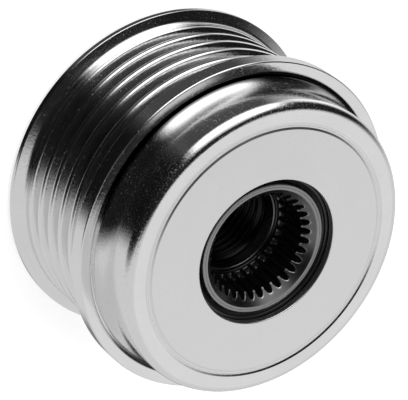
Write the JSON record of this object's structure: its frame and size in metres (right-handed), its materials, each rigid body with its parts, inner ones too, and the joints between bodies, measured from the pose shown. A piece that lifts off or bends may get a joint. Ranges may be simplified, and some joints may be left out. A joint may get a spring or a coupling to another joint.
{
  "type": "alternator pulley",
  "caption": "Overrunning alternator pulley with a ribbed belt rim between flanges, a raised nose with a cover plate and a splined, threaded hub on ball bearings.",
  "frame": {"origin": "on the axis, at the hub's rear end face, which is the lowest plane", "axes": "+Z along the axis, from the alternator towards the front of the pulley; X and Y across it"},
  "size_m": [0.0606, 0.0606, 0.0353],
  "materials": {
    "plated_steel": "fine turned, zinc plated, satin",
    "pressed_steel": "flat pressed, zinc plated, satin",
    "hub_steel": "turned and broached, plain",
    "seal_rubber": "matt black",
    "race_steel": "ground",
    "bright_steel": "polished hardened steel",
    "clutch_steel": "hardened, ground",
    "spring_steel": "rolled strip",
    "natural_nylon": "moulded, natural",
    "black_nylon": "moulded, black"
  },
  "bodies": {
    "hub": {"hub": "hub_steel", "front_inner_race": "race_steel", "rear_inner_race": "race_steel", "ramp_ring": "clutch_steel", "clutch_cage": "black_nylon", "roller_spring_1": "spring_steel", "roller_spring_2": "spring_steel", "roller_spring_3": "spring_steel", "roller_spring_4": "spring_steel", "roller_spring_5": "spring_steel", "roller_spring_6": "spring_steel", "roller_spring_7": "spring_steel", "roller_spring_8": "spring_steel"},
    "rim": {"rim": "plated_steel", "cover_plate": "pressed_steel", "front_seal": "seal_rubber", "rear_seal": "seal_rubber", "front_outer_race": "race_steel", "rear_outer_race": "race_steel", "clutch_cup": "clutch_steel"},
    "front_balls": {"front_ball_cage": "natural_nylon"},
    "rear_balls": {"rear_ball_cage": "natural_nylon"},
    "front_ball_1": {"front_ball_1": "bright_steel"},
    "front_ball_2": {"front_ball_2": "bright_steel"},
    "front_ball_3": {"front_ball_3": "bright_steel"},
    "front_ball_4": {"front_ball_4": "bright_steel"},
    "front_ball_5": {"front_ball_5": "bright_steel"},
    "front_ball_6": {"front_ball_6": "bright_steel"},
    "front_ball_7": {"front_ball_7": "bright_steel"},
    "rear_ball_1": {"rear_ball_1": "bright_steel"},
    "rear_ball_2": {"rear_ball_2": "bright_steel"},
    "rear_ball_3": {"rear_ball_3": "bright_steel"},
    "rear_ball_4": {"rear_ball_4": "bright_steel"},
    "rear_ball_5": {"rear_ball_5": "bright_steel"},
    "rear_ball_6": {"rear_ball_6": "bright_steel"},
    "rear_ball_7": {"rear_ball_7": "bright_steel"},
    "roller_1": {"roller_1": "bright_steel"},
    "roller_2": {"roller_2": "bright_steel"},
    "roller_3": {"roller_3": "bright_steel"},
    "roller_4": {"roller_4": "bright_steel"},
    "roller_5": {"roller_5": "bright_steel"},
    "roller_6": {"roller_6": "bright_steel"},
    "roller_7": {"roller_7": "bright_steel"},
    "roller_8": {"roller_8": "bright_steel"}
  },
  "joints": [
    {"name": "rim_spin", "type": "hinge", "parent": "hub", "child": "rim", "pos_m": [0, 0, 0.018], "axis": [0, 0, 1], "continuous": true},
    {"name": "front_balls_orbit", "type": "hinge", "parent": "hub", "child": "front_balls", "pos_m": [0, 0, 0.0278], "axis": [0, 0, 1], "continuous": true},
    {"name": "rear_balls_orbit", "type": "hinge", "parent": "hub", "child": "rear_balls", "pos_m": [0, 0, 0.0077], "axis": [0, 0, 1], "continuous": true},
    {"name": "front_ball_1_roll", "type": "hinge", "parent": "front_balls", "child": "front_ball_1", "pos_m": [0.0163, 0, 0.0278], "axis": [0, 0, 1], "continuous": true},
    {"name": "front_ball_2_roll", "type": "hinge", "parent": "front_balls", "child": "front_ball_2", "pos_m": [0.01016, 0.01274, 0.0278], "axis": [0, 0, 1], "continuous": true},
    {"name": "front_ball_3_roll", "type": "hinge", "parent": "front_balls", "child": "front_ball_3", "pos_m": [-0.00363, 0.01589, 0.0278], "axis": [0, 0, 1], "continuous": true},
    {"name": "front_ball_4_roll", "type": "hinge", "parent": "front_balls", "child": "front_ball_4", "pos_m": [-0.01469, 0.00707, 0.0278], "axis": [0, 0, 1], "continuous": true},
    {"name": "front_ball_5_roll", "type": "hinge", "parent": "front_balls", "child": "front_ball_5", "pos_m": [-0.01469, -0.00707, 0.0278], "axis": [0, 0, 1], "continuous": true},
    {"name": "front_ball_6_roll", "type": "hinge", "parent": "front_balls", "child": "front_ball_6", "pos_m": [-0.00363, -0.01589, 0.0278], "axis": [0, 0, 1], "continuous": true},
    {"name": "front_ball_7_roll", "type": "hinge", "parent": "front_balls", "child": "front_ball_7", "pos_m": [0.01016, -0.01274, 0.0278], "axis": [0, 0, 1], "continuous": true},
    {"name": "rear_ball_1_roll", "type": "hinge", "parent": "rear_balls", "child": "rear_ball_1", "pos_m": [0.0163, 0, 0.0077], "axis": [0, 0, 1], "continuous": true},
    {"name": "rear_ball_2_roll", "type": "hinge", "parent": "rear_balls", "child": "rear_ball_2", "pos_m": [0.01016, 0.01274, 0.0077], "axis": [0, 0, 1], "continuous": true},
    {"name": "rear_ball_3_roll", "type": "hinge", "parent": "rear_balls", "child": "rear_ball_3", "pos_m": [-0.00363, 0.01589, 0.0077], "axis": [0, 0, 1], "continuous": true},
    {"name": "rear_ball_4_roll", "type": "hinge", "parent": "rear_balls", "child": "rear_ball_4", "pos_m": [-0.01469, 0.00707, 0.0077], "axis": [0, 0, 1], "continuous": true},
    {"name": "rear_ball_5_roll", "type": "hinge", "parent": "rear_balls", "child": "rear_ball_5", "pos_m": [-0.01469, -0.00707, 0.0077], "axis": [0, 0, 1], "continuous": true},
    {"name": "rear_ball_6_roll", "type": "hinge", "parent": "rear_balls", "child": "rear_ball_6", "pos_m": [-0.00363, -0.01589, 0.0077], "axis": [0, 0, 1], "continuous": true},
    {"name": "rear_ball_7_roll", "type": "hinge", "parent": "rear_balls", "child": "rear_ball_7", "pos_m": [0.01016, -0.01274, 0.0077], "axis": [0, 0, 1], "continuous": true},
    {"name": "roller_1_turn", "type": "hinge", "parent": "hub", "child": "roller_1", "pos_m": [0.01615, 0, 0.01775], "axis": [0, 0, 1], "continuous": true},
    {"name": "roller_2_turn", "type": "hinge", "parent": "hub", "child": "roller_2", "pos_m": [0.01142, 0.01142, 0.01775], "axis": [0, 0, 1], "continuous": true},
    {"name": "roller_3_turn", "type": "hinge", "parent": "hub", "child": "roller_3", "pos_m": [0, 0.01615, 0.01775], "axis": [0, 0, 1], "continuous": true},
    {"name": "roller_4_turn", "type": "hinge", "parent": "hub", "child": "roller_4", "pos_m": [-0.01142, 0.01142, 0.01775], "axis": [0, 0, 1], "continuous": true},
    {"name": "roller_5_turn", "type": "hinge", "parent": "hub", "child": "roller_5", "pos_m": [-0.01615, 0, 0.01775], "axis": [0, 0, 1], "continuous": true},
    {"name": "roller_6_turn", "type": "hinge", "parent": "hub", "child": "roller_6", "pos_m": [-0.01142, -0.01142, 0.01775], "axis": [0, 0, 1], "continuous": true},
    {"name": "roller_7_turn", "type": "hinge", "parent": "hub", "child": "roller_7", "pos_m": [0, -0.01615, 0.01775], "axis": [0, 0, 1], "continuous": true},
    {"name": "roller_8_turn", "type": "hinge", "parent": "hub", "child": "roller_8", "pos_m": [0.01142, -0.01142, 0.01775], "axis": [0, 0, 1], "continuous": true}
  ],
  "couplings": [
    {"joint": "front_balls_orbit", "follows": "rim_spin", "ratio": 0.56748},
    {"joint": "rear_balls_orbit", "follows": "rim_spin", "ratio": 0.56748},
    {"joint": "front_ball_1_roll", "follows": "rim_spin", "ratio": 3.6371},
    {"joint": "front_ball_2_roll", "follows": "rim_spin", "ratio": 3.6371},
    {"joint": "front_ball_3_roll", "follows": "rim_spin", "ratio": 3.6371},
    {"joint": "front_ball_4_roll", "follows": "rim_spin", "ratio": 3.6371},
    {"joint": "front_ball_5_roll", "follows": "rim_spin", "ratio": 3.6371},
    {"joint": "front_ball_6_roll", "follows": "rim_spin", "ratio": 3.6371},
    {"joint": "front_ball_7_roll", "follows": "rim_spin", "ratio": 3.6371},
    {"joint": "rear_ball_1_roll", "follows": "rim_spin", "ratio": 3.6371},
    {"joint": "rear_ball_2_roll", "follows": "rim_spin", "ratio": 3.6371},
    {"joint": "rear_ball_3_roll", "follows": "rim_spin", "ratio": 3.6371},
    {"joint": "rear_ball_4_roll", "follows": "rim_spin", "ratio": 3.6371},
    {"joint": "rear_ball_5_roll", "follows": "rim_spin", "ratio": 3.6371},
    {"joint": "rear_ball_6_roll", "follows": "rim_spin", "ratio": 3.6371},
    {"joint": "rear_ball_7_roll", "follows": "rim_spin", "ratio": 3.6371}
  ]
}
